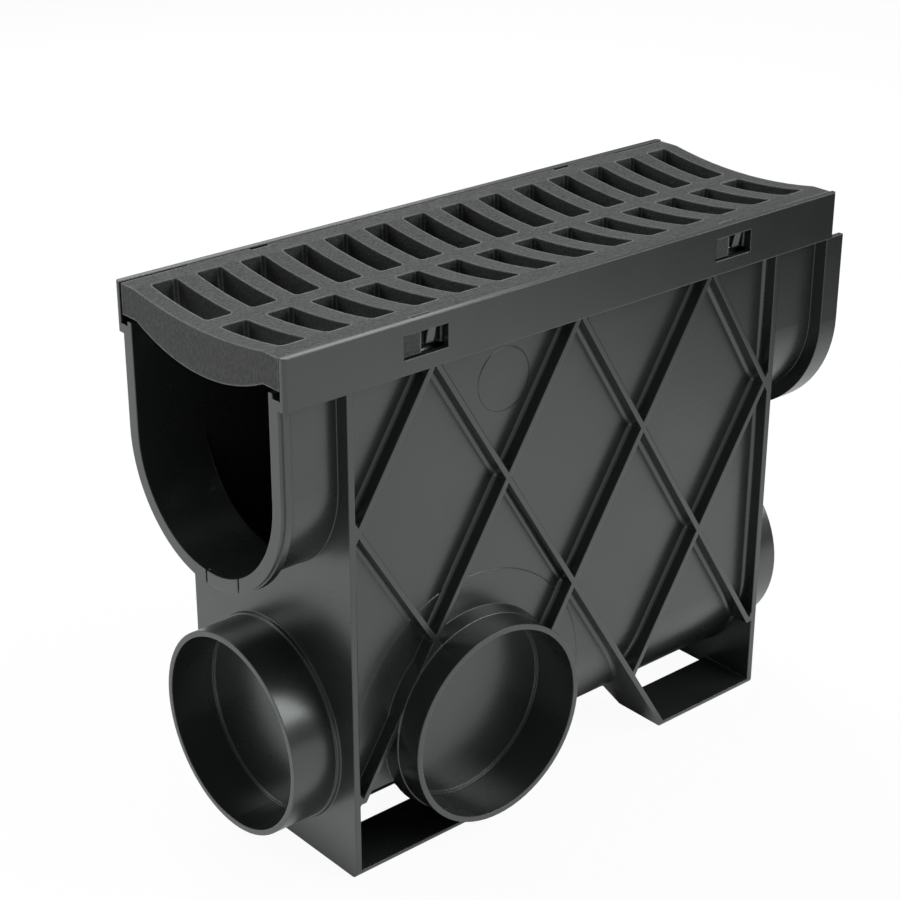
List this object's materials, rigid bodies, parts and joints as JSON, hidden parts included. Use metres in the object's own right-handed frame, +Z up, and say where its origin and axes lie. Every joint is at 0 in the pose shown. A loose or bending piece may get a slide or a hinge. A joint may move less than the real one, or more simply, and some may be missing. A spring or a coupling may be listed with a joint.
{
  "type": "gully grate with sump unit",
  "caption": "Dished slotted iron grate clipped into the rails of a moulded channel drain sump with a round bottom, diamond ribs, pipe spigots and open channel ends.",
  "frame": {"origin": "bottom centre of the whole unit's bounding box, on the ground between the feet", "axes": "+X runs along the channel from the tongue end to the socket end, +Y across the channel away from the pictured side, +Z up"},
  "size_m": [0.3846, 0.1654, 0.294],
  "materials": {
    "moulding": "satin black moulded polymer",
    "iron": "rough sand-cast iron, dark grey"
  },
  "bodies": {
    "root": {"sump_body": "moulding", "grate": "iron"}
  },
  "joints": []
}
